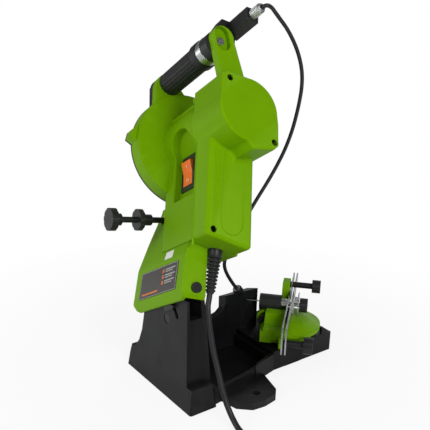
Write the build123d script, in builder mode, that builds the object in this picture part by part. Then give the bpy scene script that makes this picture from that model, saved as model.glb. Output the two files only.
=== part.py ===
"""Bench-top electric chain sharpener: tilting grinding head on a moulded base with a chain vice.

Millimetres.  The origin is midway between the two mounting holes, on the bench.
+Z is up, -Y is the front, where the user stands at the vice, and +X is the wheel side.
The head stands at its usual working tilt, and the arm is raised.
"""
import os
from math import atan2, cos, degrees, pi, radians, sin, tan

from build123d import *

os.makedirs("parts", exist_ok=True)

# ---- driving dimensions: frames -------------------------------------------------------------
head_tilt = 30.0            # lean of the head to the wheel side, about the tilt pin
arm_lean = 21.3             # forward lean of the raised arm, about the swing shaft
tilt_x = -10.0              # tilt pin
tilt_z = 102.0
swing_y = 69.0              # swing shaft, above the tilt pin in the bracket
swing_rise = 26.0
index_r = 25.6              # tilt index screw, from the tilt pin
index_angle = 58.4          # its direction above the horizontal
vice_x = -20.0              # pivot of the chain vice
vice_y = -118.0
vice_angle = 47.0           # turn of the vice away from the wheel's axis

# ---- driving dimensions: base ---------------------------------------------------------------
foot_w = 155.0
foot_front = 50.0
foot_back = 90.5
foot_h = 31.0
foot_draft = 9.0
column_back = 86.0
column_front = 50.0
column_draft = 5.5          # each face comes in by this much at the top
column_top = 141.0
cheek_gap = 17.0            # slot in the column's top for the bracket
tub_wall = 6.0
tub_wall_h = 24.0
tub_floor = 4.0
ground_gap = 3.5            # the tub hangs this far above the bench
carrier_w = 110.0
carrier_back = -62.0
carrier_front = -168.0
carrier_h = 32.0
end_wall_h = 54.0
end_wall_back = -132.0
ear_t = 10.0
bolt_pitch = 185.0
bolt_hole_d = 10.0
tower_top = 91.0
tower_x = 32.0              # cable bore in the stop tower
tower_y = -69.5

# ---- driving dimensions: head ---------------------------------------------------------------
wheel_d = 145.0
wheel_t = 3.2
wheel_bore = 22.2
wheel_u = 2.0               # near face of the wheel along the motor shaft
motor_v = -15.5             # motor shaft, from the swing shaft
motor_w = 206.0
motor_r = 41.0
motor_end = -149.0
shell_wall = 3.0
cap_round = 2.0             # rounded rims of the motor cap and of the box
box_round = 5.0
corner_round = 12.0         # upright back corner of the box, wheel side
screw_sink = 10.0           # the shell screws stand this deep
seam_u = -77.0              # joint between the two shells
guard_r = 78.0
guard_back = -4.0
guard_edge = 17.0
cover_t = 3.0
box_right = -109.0
box_left = 10.0
box_back = 14.5
box_front = -50.0
neck_w = 130.0
neck_depth = 14.0
neck_drop = 15.5
handle_v = 21.0
handle_w = 293.0
grip_d = 33.0
core_d = 10.0
ear_r = 13.0
near_ear_r = 15.0
near_ear = (-138.0, -127.0)
cable_bar = (-8.5, 309.0)   # lower front edge of the bar that carries the cable
bar_v = 17.0
bar_w = 17.0
bar_end = -172.0
relief_r = 8.5
relief_top = (-69.0, -24.0, 58.0)
relief_tip = (-65.0, -20.0, -4.0)
far_ear = (-2.0, 10.0)
guard_open = 50.0           # the guard is cut back to this radius where the wheel works
bearing_r = 13.0            # front bearing
recess_deep = 9.0           # the switch stands in a recess
recess_u = (-74.0, -22.0)
recess_w = (115.0, 176.0, 206.0)
switch_u = -44.5
switch_w = 151.5
rocker_swing = 18.0
stop_u = 34.0               # depth-stop screw
stop_w = 110.0
stop_d = 8.0
stop_tilt = 10.5            # the stop screw leans toward the swing shaft
stop_tip = -34.0
stop_length = 118.0
shaft_d = 10.0
plate_stand = 0.1           # sheet parts stand off the skin they lie on
clearance = 0.3             # between pieces that move past each other

# ---- driving dimensions: vice ---------------------------------------------------------------
table_r = 44.0
hub_r = 35.0
table_rim = (42.0, 48.0)    # underside and top of the table's rim
dome_top = 58.0
plate_t = 2.0
plate_top = 79.5
plate_near = -88.0
plate_far = 104.0
plate_gap = 3.0             # open; the chain's links take up the last 1.3
clamp_z = 74.0
clamp_rod_d = 6.0
cylinder_r = 11.5
jaw_face = 3.5              # the fixed jaw's face, behind the chain's plane
stop_rod_r = 4.2
hook_y = 34.5
hook_z = 54.0
stop_post_x = 38.0          # chain stop, along the plates
lock_x = -50.0              # turn lock, along the plates
lock_z = 38.0
stop_rod_z = 88.0

# ---- driving dimensions: cords --------------------------------------------------------------
cord_d = 7.0
cable_d = 5.0
wire_d = 1.6
coil_mid_d = 80.0

# ---- frames ---------------------------------------------------------------------------------
def turned(frame, about, angle):
    """A copy of a frame, turned about one of its own axes."""
    c, q = cos(radians(angle)), sin(radians(angle))
    if about == "x":
        return Plane(frame.origin, x_dir=frame.x_dir, z_dir=frame.z_dir * c - frame.y_dir * q)
    if about == "y":
        return Plane(frame.origin, x_dir=frame.x_dir * c - frame.z_dir * q,
                     z_dir=frame.z_dir * c + frame.x_dir * q)
    return Plane(frame.origin, x_dir=frame.x_dir * c + frame.y_dir * q, z_dir=frame.z_dir)


bracket = turned(Plane((tilt_x, 0, tilt_z)), "y", head_tilt)
swing_centre = bracket.from_local_coords(Vector(0, swing_y, swing_rise))
head = turned(Plane(swing_centre, x_dir=bracket.x_dir, z_dir=bracket.z_dir), "x", arm_lean)
vice = turned(Plane((vice_x, vice_y, 0)), "z", -vice_angle)


def shifted(frame, x, y, z):
    """A copy of a frame, moved along its own axes."""
    return Plane(frame.from_local_coords(Vector(x, y, z)), x_dir=frame.x_dir, z_dir=frame.z_dir)


def along_shaft(u, v=0.0, w=0.0):
    """Plane square to the motor shaft: sketch x is the head's v, sketch y is its w."""
    return Plane(head.from_local_coords(Vector(u, v, w)), x_dir=head.y_dir, z_dir=head.x_dir)


def facing_front(v, u=0.0, w=0.0):
    """Plane square to the head's v axis: sketch x is u, sketch y is w, extrusion goes forward."""
    return Plane(head.from_local_coords(Vector(u, v, w)), x_dir=head.x_dir, z_dir=-head.y_dir)


def across_plates(y, x=0.0, z=0.0):
    """Plane square to the vice's clamp axis: sketch x runs along the plates, sketch y is up."""
    return Plane(vice.from_local_coords(Vector(x, y, z)), x_dir=vice.x_dir, z_dir=-vice.y_dir)


def along_plates(x, y=0.0, z=0.0):
    """Plane square to the plates' length: sketch x is the clamp axis, sketch y is up."""
    return Plane(vice.from_local_coords(Vector(x, y, z)), x_dir=vice.y_dir, z_dir=vice.x_dir)


stop_axis = turned(Plane(head.from_local_coords(Vector(stop_u, -3, stop_w)), x_dir=head.x_dir,
                         z_dir=head.y_dir), "x", -stop_tilt)

relief_start = head.from_local_coords(Vector(*relief_top))
relief_end = head.from_local_coords(Vector(*relief_tip))
relief_axis = Plane(relief_start, z_dir=relief_end - relief_start)


def rod(plane, radius, length, mode=Mode.ADD):
    """A round bar, drilled or added, that starts on the plane and runs along its normal."""
    with BuildSketch(plane) as outline:
        Circle(radius)
    extrude(outline.sketch, amount=length, mode=mode)


def ring(plane, outer, inner, length):
    """A plain round sleeve that starts on the plane."""
    with BuildSketch(plane) as outline:
        Circle(outer)
        Circle(inner, mode=Mode.SUBTRACT)
    extrude(outline.sketch, amount=length)


def slab(plane, points, length, mode=Mode.ADD, radius=0.0):
    """A flat piece with the outline through the points, square corners or rounded ones."""
    with BuildSketch(plane) as outline:
        with BuildLine():
            Polyline(*points, close=True)
        make_face()
        if radius:
            fillet(outline.vertices(), radius)
    extrude(outline.sketch, amount=length, mode=mode)


def box_between(frame, low, high, mode=Mode.ADD):
    """A block between two corners, given in the frame's own axes."""
    middle = [(a + b) / 2 for a, b in zip(low, high)]
    with BuildSketch(shifted(frame, middle[0], middle[1], low[2])) as outline:
        Rectangle(high[0] - low[0], high[1] - low[1])
    extrude(outline.sketch, amount=high[2] - low[2], mode=mode)


def moulded(plane, points, length, gap, mode=Mode.ADD, radius=0.0):
    """A block with its outline and both ends drawn in by the gap."""
    start = Plane(plane.origin + plane.z_dir * gap, x_dir=plane.x_dir, z_dir=plane.z_dir)
    with BuildSketch(start) as outline:
        with BuildLine():
            Polyline(*points, close=True)
        make_face()
        if radius:
            fillet(outline.vertices(), radius)
        if gap:
            offset(amount=-gap, kind=Kind.INTERSECTION)
    extrude(outline.sketch, amount=length - 2 * gap, mode=mode)


def knob(plane, radius, length, lobes, notch, bore):
    """A hand knob with finger notches round its rim."""
    with BuildSketch(plane) as outline:
        Circle(radius)
        with PolarLocations(radius + notch * 0.4, lobes):
            Circle(notch, mode=Mode.SUBTRACT)
        Circle(bore, mode=Mode.SUBTRACT)
    extrude(outline.sketch, amount=length)


def finish(part, name):
    """Name the piece and write it."""
    part.part.label = name
    export_step(part.part, f"parts/{name}.step")


# ---- base: one moulding with column, tub, carrier, stop tower and ears -----------------------
foot_mid = (foot_front + foot_back) / 2
slot_mid = swing_y
tub_outline = [(-foot_w / 2 + 0.5, foot_front + 3), (-70, 0), (-carrier_w / 2, carrier_back),
               (carrier_w / 2, carrier_back), (70, 0), (foot_w / 2 - 0.5, foot_front + 3)]
ear_outline = [(-66, 40), (-95, 33.5), (-109, 18), (-111, 0), (-107.5, -20), (-100, -27), (-60, -38)]
tower_outline = [(30, -41), (26, -65), (19, -90), (46, -93), (46, -41)]
wire_run = Vector(vice.y_dir.X, vice.y_dir.Y, 0)
wire_entry = Vector(tower_x, tower_y, clamp_z)
cable_seat = Plane((tower_x - 0.5, tower_y + 7, tower_top), z_dir=(-0.1, 0.66, 0.745))
with BuildLine() as index_path:
    CenterArc((0, 0), index_r, index_angle - head_tilt, head_tilt)
with BuildPart() as base_casting:
    slab(Plane.XZ.offset(-column_back),
         [(-62, foot_h - 1), (-53, column_top), (-2, column_top), (43.5, 113), (44, 86), (47.5, 63),
          (54, 45), (66, foot_h - 1)], column_back - column_front)
    slab(Plane.YZ.offset(-foot_w / 2),
         [(column_back, foot_h - 1), (column_back - column_draft, column_top),
          (column_front + column_draft, column_top), (column_front, foot_h - 1)],
         foot_w, mode=Mode.INTERSECT)
    with BuildSketch(Plane.XY):
        with Locations((0, foot_mid)):
            RectangleRounded(foot_w, foot_back - foot_front, 3)
    extrude(amount=foot_h, taper=foot_draft)
    slab(Plane.XY.offset(ground_gap), tub_outline, tub_wall_h - ground_gap)
    with BuildSketch(Plane.XY.offset(ground_gap + tub_floor)):
        with BuildLine():
            Polyline(*tub_outline, close=True)
        make_face()
        offset(amount=-tub_wall, kind=Kind.INTERSECTION)
    extrude(amount=tub_wall_h, mode=Mode.SUBTRACT)
    box_between(Plane.XY, (-carrier_w / 2, carrier_front, ground_gap),
                (carrier_w / 2, carrier_back + 2, carrier_h))
    slab(Plane.YZ.offset(-carrier_w / 2),
         [(end_wall_back, carrier_h - 1), (end_wall_back, end_wall_h), (carrier_front + 27, end_wall_h),
          (carrier_front + 5, carrier_h), (carrier_front, carrier_h - 6)], carrier_w)
    rod(Plane((vice_x, vice_y, carrier_h)), table_r + 3, end_wall_h, mode=Mode.SUBTRACT)
    for side in (-1, 1):
        slab(Plane.XY, [(-side * x, y) for x, y in ear_outline], ear_t)
        box_between(Plane.XY, (side * 43 - 8, -115, 0), (side * 43 + 8, -85, ground_gap + 1))
    slab(Plane.XY.offset(ground_gap + tub_floor), tower_outline, tower_top - ground_gap - tub_floor)
    slab(Plane.XZ.offset(39), [(19, tower_top), (47, tower_top), (47, tower_top - 11)], 56,
         mode=Mode.SUBTRACT)
    rod(shifted(cable_seat, 0, 0, -16), 7.0, 16)
    slab(Plane.YZ.offset(28),
         [(-43, ground_gap + 1), (-43, 80), (-36, 70), (-28, 63), (-18, 60), (column_front + 3, 60),
          (column_front + 3, ground_gap + 1)], 9)
    slab(Plane.XY.offset(ground_gap + 1),
         [(-carrier_w / 2, carrier_back + 1), (-carrier_w / 2 + tub_wall, carrier_back + 1),
          (-61, -25), (-66, -20)], carrier_h - ground_gap - 4)
    # the moulding is hollow from below
    box_between(Plane.XY, (-66, foot_front + 8, -1), (66, foot_back - 10, foot_h - 5), mode=Mode.SUBTRACT)
    box_between(Plane.XY, (-47, column_front + 7, -1), (38, column_back - 9, 68), mode=Mode.SUBTRACT)
    for low, high in (((-50, -126, -1), (-36, -72, 26)), ((20, -126, -1), (50, -72, 26)),
                      ((-50, -160, -1), (50, -138, 26))):
        box_between(Plane.XY, low, high, mode=Mode.SUBTRACT)
    # slot and bore for the tilt bracket
    box_between(Plane.XY, (tilt_x - 36, slot_mid - cheek_gap / 2, 72),
                (foot_w / 2, slot_mid + cheek_gap / 2, column_top + 1), mode=Mode.SUBTRACT)
    box_between(Plane.XY, (-70, slot_mid - cheek_gap / 2, 116),
                (0, slot_mid + cheek_gap / 2, column_top + 1), mode=Mode.SUBTRACT)
    rod(Plane((tilt_x, column_back, tilt_z), z_dir=(0, -1, 0)), 6.05, 40, mode=Mode.SUBTRACT)
    with BuildSketch(Plane((tilt_x, slot_mid, tilt_z), x_dir=(-1, 0, 0), z_dir=(0, 1, 0))):
        SlotArc(index_path.edges()[0], 6.6)
    extrude(amount=column_back - slot_mid, mode=Mode.SUBTRACT)
    # ferrule seat, cable bore and wire bore in the tower
    rod(shifted(cable_seat, 0, 0, -9), 4.05, 30, mode=Mode.SUBTRACT)
    rod(shifted(cable_seat, 0, 0, 0.3), 5.6, 30, mode=Mode.SUBTRACT)
    rod(Plane((tower_x, tower_y, clamp_z - 3)), 3.0, 16, mode=Mode.SUBTRACT)
    rod(Plane(wire_entry, z_dir=-wire_run), 3.0, 40, mode=Mode.SUBTRACT)
    # vice pivot and mounting holes
    rod(Plane((vice_x, vice_y, -1)), 4.1, carrier_h + 5, mode=Mode.SUBTRACT)
    rod(Plane((vice_x, vice_y, -1)), 10.0, ground_gap + 7, mode=Mode.SUBTRACT)
    for side in (-1, 1):
        rod(Plane((side * bolt_pitch / 2, 0, -1)), bolt_hole_d / 2, ear_t + 2, mode=Mode.SUBTRACT)
finish(base_casting, "base_casting")


# ---- bracket: carries the head, tilts in the column's slot ----------------------------------
tube_r = 8.0
tube_half = 58.0
neck_in = neck_w / 2 - shell_wall
with BuildPart() as tilt_bracket:
    with BuildSketch(Plane(bracket.from_local_coords(Vector(0, slot_mid - tube_r, 0)),
                           x_dir=-bracket.x_dir, z_dir=bracket.y_dir)):
        with BuildLine():
            Polyline((15, -4), (-15, -4), (-13, swing_rise), (13, swing_rise), close=True)
        make_face()
        Circle(15)
        with BuildLine():
            Polyline((0, 15), (18, 18), (26, 9), (12, -9), close=True)
        make_face()
        with Locations((index_r * cos(radians(index_angle - head_tilt)),
                        index_r * sin(radians(index_angle - head_tilt)))):
            Circle(6.5)
    extrude(amount=2 * tube_r)
    rod(along_shaft(-tube_half), tube_r, 2 * tube_half)
    rod(along_shaft(-tube_half - 1), shaft_d / 2, 2 * tube_half + 2, mode=Mode.SUBTRACT)
    rod(Plane((tilt_x, column_back, tilt_z), z_dir=(0, -1, 0)), 6.05, 40, mode=Mode.SUBTRACT)
    rod(turned(shifted(bracket, -index_r * cos(radians(index_angle - head_tilt)), slot_mid,
                index_r * sin(radians(index_angle - head_tilt))), "x", -90),
        2.5, 20, mode=Mode.SUBTRACT)
finish(tilt_bracket, "tilt_bracket")

with BuildPart() as swing_shaft:
    rod(along_shaft(-neck_w / 2), shaft_d / 2, neck_w)
finish(swing_shaft, "swing_shaft")

with BuildPart() as shaft_caps:
    for end in (-1, 1):
        near = end * (neck_w / 2 + 0.4)
        rod(along_shaft(min(near, near + end * 3.6)), 6.5, 3.6)
finish(shaft_caps, "shaft_caps")

with BuildPart() as tilt_pin:
    rod(Plane((tilt_x, column_back - 4.2, tilt_z), z_dir=(0, -1, 0)), 6.0, 44.8)
finish(tilt_pin, "tilt_pin")


# ---- head: two moulded shells with the motor, the neck and the wheel guard --------------------
neck_profile = [(-neck_depth, -neck_drop), (neck_depth, -neck_drop), (20, -5), (16.4, 40), (6, 79),
                (0, 104), (-3, 120), (-3, 150), (-neck_depth, 150)]
neck_outline = [(-57, -neck_drop), (57, -neck_drop), (62.5, -13), (65, -8), (65, 46), (60, 79),
                (52, 104), (46, 118), (42, 126), (-4, 126), (-4, 150), (-65, 150), (-65, -8),
                (-62.5, -13)]
box_outline = [(box_back, 55), (box_back, 239), (-15.5, motor_w + motor_r), (box_front + 10, 238),
               (box_front, 228), (box_front, 45)]
cap_outline = [(24.6, 212), (20.5, 196), (12.5, 184.5), (-2, 173), (-16, 163), (-22, 156),
               (-52.6, 163), (-58.5, 169), (-58, 197), (-55.5, 214), (-47, 232), (-32, 243.5), (-10, 247),
               (20, 247), (24.6, 243)]
corner_end = -83.0
lug_r = 6.5
cap_screws = [(14, 239), (-52, 172)]
box_screws = [(4.6, 62)]


def head_form(gap, low, high):
    """The moulded form between two stations on the motor shaft, drawn in by the gap."""
    with BuildPart() as form:
        if low > box_right:
            moulded(along_shaft(-neck_w / 2), neck_profile, neck_w, gap)
            moulded(facing_front(40), neck_outline, 80, gap, mode=Mode.INTERSECT)
            moulded(along_shaft(low), box_outline, box_left - low, gap)
            with BuildSketch(along_shaft(low, motor_v, motor_w)) as drum:
                Circle(motor_r - gap)
            extrude(drum.sketch, amount=high - low - gap)
        else:
            moulded(along_shaft(box_right), box_outline, high - box_right + gap, gap, radius=5 - gap)
            moulded(along_shaft(low), cap_outline, corner_end - low, gap)
            with BuildSketch(along_shaft(low + gap, motor_v, motor_w)) as drum:
                Circle(motor_r - gap)
            extrude(drum.sketch, amount=high - low - gap)
    return form.part


def recess_form(grow, proud):
    """The scoop that the switch stands in, grown by a wall, up to the given v."""
    with BuildPart() as form:
        slab(along_shaft(recess_u[0] - grow),
             [(proud, recess_w[0] - grow), (box_back - recess_deep - grow, recess_w[0] - grow),
              (box_back - recess_deep - grow, recess_w[1]), (box_back + 1.5 - grow, recess_w[2] + grow),
              (proud, recess_w[2] + grow)], recess_u[1] - recess_u[0] + 2 * grow)
        with BuildSketch(facing_front(proud + 1)) as outline:
            with BuildLine():
                Polyline((recess_u[0] - grow, recess_w[1] + 4), (recess_u[0] - grow, recess_w[0] - grow),
                         (recess_u[1] + grow, recess_w[0] - grow), (recess_u[1] + grow, recess_w[1] + 4))
                ThreePointArc((recess_u[1] + grow, recess_w[1] + 4),
                              ((recess_u[0] + recess_u[1]) / 2, recess_w[2] + grow),
                              (recess_u[0] - grow, recess_w[1] + 4))
            make_face()
        extrude(outline.sketch, amount=80, mode=Mode.INTERSECT)
    return form.part


open_sector = [(motor_v + guard_open * cos(radians(a)), motor_w + guard_open * sin(radians(a)))
               for a in (150, 180, 210, 232)]
open_sector += [(motor_v + 120 * cos(radians(a)), motor_w + 120 * sin(radians(a)))
                for a in (232, 210, 180, 150)]

def edges_where(part, u=None, v=None):
    """Edges that keep to the head's given u, v or both along their whole length."""
    chosen = []
    for edge in part.edges():
        spots = [head.to_local_coords(edge @ share) for share in (0, 0.5, 1)]
        if all((u is None or abs(spot.X - u) < 0.05) and (v is None or abs(spot.Y - v) < 0.05)
               for spot in spots):
            chosen.append(edge)
    return chosen


left_form = head_form(0, seam_u, guard_back)
left_form = left_form.fillet(corner_round, edges_where(left_form, box_left, box_back))
left_cavity = head_form(shell_wall, seam_u - 2 * shell_wall, guard_back)
left_cavity = left_cavity.fillet(corner_round - shell_wall,
                                 edges_where(left_cavity, box_left - shell_wall, box_back - shell_wall))
right_form = head_form(0, motor_end, seam_u)
right_form = right_form.fillet(cap_round, edges_where(right_form, motor_end))
right_form = right_form.fillet(box_round, edges_where(right_form, box_right))
right_cavity = head_form(shell_wall, motor_end, seam_u + 2 * shell_wall)

with BuildPart() as shell_right:
    add(right_form)
    add(right_cavity, mode=Mode.SUBTRACT)
    # rear bearing seat and screw bosses
    ring(along_shaft(motor_end + 1, motor_v, motor_w), 14, 11, 9)
    for v, w in cap_screws:
        rod(along_shaft(motor_end + 1, v, w), lug_r, corner_end - motor_end - 1.2)
        rod(along_shaft(motor_end - 1, v, w), 2.2, 90, mode=Mode.SUBTRACT)
        rod(along_shaft(motor_end - 1, v, w), 4.2, screw_sink + 1, mode=Mode.SUBTRACT)
    for v, w in box_screws:
        rod(along_shaft(box_right + 1, v, w), lug_r, seam_u - box_right - 1.2)
        rod(along_shaft(box_right - 1, v, w), 2.2, 40, mode=Mode.SUBTRACT)
        rod(along_shaft(box_right - 1, v, w), 4.2, screw_sink + 1, mode=Mode.SUBTRACT)
    # ear for the handle
    slab(along_shaft(near_ear[0]), [(-17, 240), (18, 240), (34, 298), (4, 298)],
         near_ear[1] - near_ear[0])
    rod(along_shaft(near_ear[0], 19, 298), near_ear_r, near_ear[1] - near_ear[0])
    add(right_cavity, mode=Mode.SUBTRACT)
    with BuildSketch(along_shaft(near_ear[0] - 1, 20, 296)):
        SlotOverall(32, 20, rotation=75)
    extrude(amount=8, mode=Mode.SUBTRACT)
    rod(along_shaft(near_ear[0] - 1, handle_v, handle_w), 2.7, 15, mode=Mode.SUBTRACT)
    for v, w in cap_screws:
        rod(along_shaft(corner_end - 0.2, v, w), lug_r + 0.2, 20, mode=Mode.SUBTRACT)
    rod(relief_axis, relief_r + 0.2, 30, mode=Mode.SUBTRACT)
finish(shell_right, "shell_right")


with BuildPart() as shell_left:
    add(left_form)
    add(left_cavity, mode=Mode.SUBTRACT)
    rod(relief_axis, relief_r + 0.2, 30, mode=Mode.SUBTRACT)
    # guard plate and rim round the wheel, with the handle's far ear and a screw lug
    rod(along_shaft(guard_back, motor_v, motor_w), guard_r, guard_edge - guard_back)
    slab(along_shaft(far_ear[0]), [(-22, 262), (40, 258), (41, 290), (5, 292)],
         far_ear[1] - far_ear[0])
    rod(along_shaft(far_ear[0], handle_v + 1, handle_w - 3), ear_r + 5, far_ear[1] - far_ear[0])
    slab(along_shaft(guard_back + 6), [(45, 190), (45, 240), (69, 214), (71, 203)],
         guard_edge - guard_back - 6)
    rod(along_shaft(guard_back + shell_wall, motor_v, motor_w), guard_r - shell_wall, 40,
        mode=Mode.SUBTRACT)
    slab(along_shaft(guard_back - 1), open_sector, 60, mode=Mode.SUBTRACT)
    rod(along_shaft(far_ear[0] - 1, handle_v, handle_w), 2.7, 30, mode=Mode.SUBTRACT)
    # bulkhead with the front bearing seat
    ring(along_shaft(-18, motor_v, motor_w), 17, bearing_r, 18 + guard_back + 1)
    rod(along_shaft(-20, motor_v, motor_w), 6.5, 30, mode=Mode.SUBTRACT)
    # the neck is open at the bottom and the front
    box_between(head, (-neck_in, -60, -neck_drop - 5), (neck_in, 0, 45), mode=Mode.SUBTRACT)
    box_between(head, (-neck_in, -neck_depth, -neck_drop - 5), (neck_in, neck_depth - shell_wall, 0),
                mode=Mode.SUBTRACT)
    # bosses on the swing shaft
    for end in (-1, 1):
        low = -neck_w / 2 if end < 0 else tube_half + clearance
        rod(along_shaft(low), 10, neck_w / 2 - tube_half - clearance)
        rod(along_shaft(low - 1), shaft_d / 2 + 0.05, 20, mode=Mode.SUBTRACT)
    # lugs that the right shell is screwed to
    for v, w in cap_screws:
        rod(along_shaft(corner_end, v, w), lug_r, 12)
        rod(along_shaft(corner_end - 1, v, w), 1.6, 10, mode=Mode.SUBTRACT)
    for v, w in box_screws:
        rod(along_shaft(seam_u, v, w), lug_r, 16)
        rod(along_shaft(seam_u - 1, v, w), 1.6, 14, mode=Mode.SUBTRACT)
    # switch recess
    with BuildPart(mode=Mode.PRIVATE) as recess_wall:
        add(recess_form(shell_wall, box_back + 12))
        add(left_form, mode=Mode.INTERSECT)
    add(recess_wall.part)
    add(recess_form(0, box_back + 20), mode=Mode.SUBTRACT)
    box_between(head, (switch_u - 14.5, -20, switch_w - 21.5), (switch_u + 14.5, box_back, switch_w + 21.5),
                mode=Mode.SUBTRACT)
    # boss for the depth stop, hole for the cord's strain relief
    rod(shifted(stop_axis, 0, 0, -13), 9, 13)
    rod(shifted(stop_axis, 0, 0, -20), stop_d / 2 + 2.2, 60, mode=Mode.SUBTRACT)
finish(shell_left, "shell_left")

with BuildPart() as guard_cover:
    rod(along_shaft(guard_edge, motor_v, motor_w), guard_r, cover_t)
    slab(along_shaft(far_ear[1]), [(-20, 264), (39, 259), (41, 290), (5, 292)],
         guard_edge + cover_t - far_ear[1])
    rod(along_shaft(far_ear[1], handle_v + 1, handle_w - 3), ear_r + 5,
        guard_edge + cover_t - far_ear[1])
    slab(along_shaft(guard_edge), [(45, 190), (45, 240), (69, 214), (71, 203)], cover_t)
    rod(along_shaft(far_ear[1] - 1, motor_v, motor_w), guard_r + plate_stand,
        guard_edge - far_ear[1] + 1, mode=Mode.SUBTRACT)
    slab(along_shaft(guard_back - 1), open_sector, 60, mode=Mode.SUBTRACT)
    rod(along_shaft(far_ear[1] - 1, handle_v, handle_w), 5.0, 30, mode=Mode.SUBTRACT)
finish(guard_cover, "guard_cover")

# ---- handle, with the clamp cable's housing -------------------------------------------------
ring_u = (-112.0, -100.2)
grip_low = -100.0
grip_flange = 12.0
grip_high = -4.0
with BuildPart() as handle_core:
    rod(along_shaft(near_ear[1] + plate_stand, handle_v, handle_w), core_d / 2,
        far_ear[0] - near_ear[1] - 2 * plate_stand)
    for u in (near_ear[1] - 1, far_ear[0] - 15):
        rod(along_shaft(u, handle_v, handle_w), 2.0, 16, mode=Mode.SUBTRACT)
finish(handle_core, "handle_core")

with BuildPart() as handle_grip:
    with BuildSketch(along_shaft(grip_low + grip_flange, handle_v, handle_w)):
        Circle(grip_d / 2)
        with PolarLocations(grip_d / 2 + 0.3, 20):
            Circle(1.1, mode=Mode.SUBTRACT)
        Circle(core_d / 2 + 0.05, mode=Mode.SUBTRACT)
    extrude(amount=grip_high - grip_low - grip_flange)
    ring(along_shaft(grip_low, handle_v, handle_w), grip_d / 2 + 2, core_d / 2 + 0.05, grip_flange)
finish(handle_grip, "handle_grip")

with BuildPart() as handle_ring:
    ring(along_shaft(ring_u[0], handle_v, handle_w), grip_d / 2 + 1, core_d / 2 + plate_stand,
         ring_u[1] - ring_u[0])
finish(handle_ring, "handle_ring")

bar_mid_v = cable_bar[0] + bar_v / 2
bar_mid_w = cable_bar[1] + bar_w / 2
with BuildPart() as cable_housing:
    rod(along_shaft(near_ear[1] + plate_stand, handle_v, handle_w), grip_d / 2 + 0.5,
        ring_u[0] - near_ear[1] - 2 * plate_stand)
    slab(along_shaft(near_ear[1] + plate_stand),
         [(-4, 296), (-6, 331), (16, 331), (handle_v + 8, 307), (handle_v, 290)],
         ring_u[0] - near_ear[1] - 2 * plate_stand)
    box_between(head, (bar_end, cable_bar[0], cable_bar[1]),
                (near_ear[1] + 2, cable_bar[0] + bar_v, cable_bar[1] + bar_w))
    rod(along_shaft(near_ear[0] - clearance, 19, 298), near_ear_r + clearance,
        near_ear[1] - near_ear[0] + clearance + plate_stand, mode=Mode.SUBTRACT)
    rod(along_shaft(near_ear[1] - 1, handle_v, handle_w), core_d / 2 + plate_stand, 30,
        mode=Mode.SUBTRACT)
    rod(along_shaft(bar_end - 1, bar_mid_v, bar_mid_w), 4.05, 13, mode=Mode.SUBTRACT)
    rod(along_shaft(bar_end - 1, bar_mid_v, bar_mid_w), 1.5, 60, mode=Mode.SUBTRACT)
finish(cable_housing, "cable_housing")

with BuildPart() as cable_adjuster:
    rod(along_shaft(bar_end - 20, bar_mid_v, bar_mid_w), 4.5, 6)
    with BuildSketch(along_shaft(bar_end - 17, bar_mid_v, bar_mid_w)):
        Circle(6.3)
        with PolarLocations(6.5, 16):
            Circle(0.6, mode=Mode.SUBTRACT)
    extrude(amount=16)
    rod(along_shaft(bar_end - 2, bar_mid_v, bar_mid_w), 4.0, 12)
    rod(along_shaft(bar_end - 21, bar_mid_v, bar_mid_w), cable_d / 2 + clearance, 11,
        mode=Mode.SUBTRACT)
    rod(along_shaft(bar_end - 12, bar_mid_v, bar_mid_w), 1.5, 30, mode=Mode.SUBTRACT)
finish(cable_adjuster, "cable_adjuster")

# ---- screws ---------------------------------------------------------------------------------


def screw(plane, head_r, head_h, shank_r, length):
    """A cross-head screw: the head stands on the plane, the shank runs along its normal."""
    rod(plane, shank_r, length)
    back = Plane(plane.origin - plane.z_dir * head_h, x_dir=plane.x_dir, z_dir=plane.z_dir)
    rod(back, head_r, head_h)
    slot = Plane(plane.origin - plane.z_dir * (head_h + 0.01), x_dir=plane.x_dir, z_dir=plane.z_dir)
    with BuildSketch(slot) as cross:
        Rectangle(head_r * 1.2, head_r * 0.3)
        Rectangle(head_r * 0.3, head_r * 1.2)
    extrude(cross.sketch, amount=head_h * 0.6, mode=Mode.SUBTRACT)


with BuildPart() as shell_screws:
    for v, w in cap_screws:
        screw(along_shaft(motor_end + screw_sink, v, w), 3.4, 2.6, 1.6,
              corner_end - motor_end + 8 - screw_sink)
    for v, w in box_screws:
        screw(along_shaft(box_right + screw_sink, v, w), 3.4, 2.6, 1.6,
              seam_u - box_right + 12 - screw_sink)
finish(shell_screws, "shell_screws")

with BuildPart() as handle_screws:
    screw(along_shaft(near_ear[0] + 7, handle_v, handle_w), 5.0, 4.0, 2.0, 18)
    screw(turned(turned(along_shaft(far_ear[1], handle_v, handle_w), "x", 90), "x", 90),
          4.5, 4.0, 2.0, far_ear[1] - far_ear[0] + 13)
finish(handle_screws, "handle_screws")

# ---- motor ----------------------------------------------------------------------------------
stack = (-122.0, -84.0)
with BuildPart() as motor_field:
    with BuildSketch(along_shaft(stack[0], motor_v, motor_w)):
        Circle(motor_r - shell_wall - 0.1)
        Rectangle(2 * motor_r, 2 * motor_r - 22, mode=Mode.INTERSECT)
        Circle(26, mode=Mode.SUBTRACT)
    extrude(amount=stack[1] - stack[0])
finish(motor_field, "motor_field")

with BuildPart() as rotor:
    rod(along_shaft(motor_end + 3.5, motor_v, motor_w), 4.0, 8)
    rod(along_shaft(motor_end + 11, motor_v, motor_w), 5.0, wheel_u - motor_end + 4)
    rod(along_shaft(-136, motor_v, motor_w), 12.0, 12)
    rod(along_shaft(stack[0], motor_v, motor_w), 25.2, stack[1] - stack[0])
    rod(along_shaft(wheel_u, motor_v, motor_w), 5.0, 14)
finish(rotor, "rotor")

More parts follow.
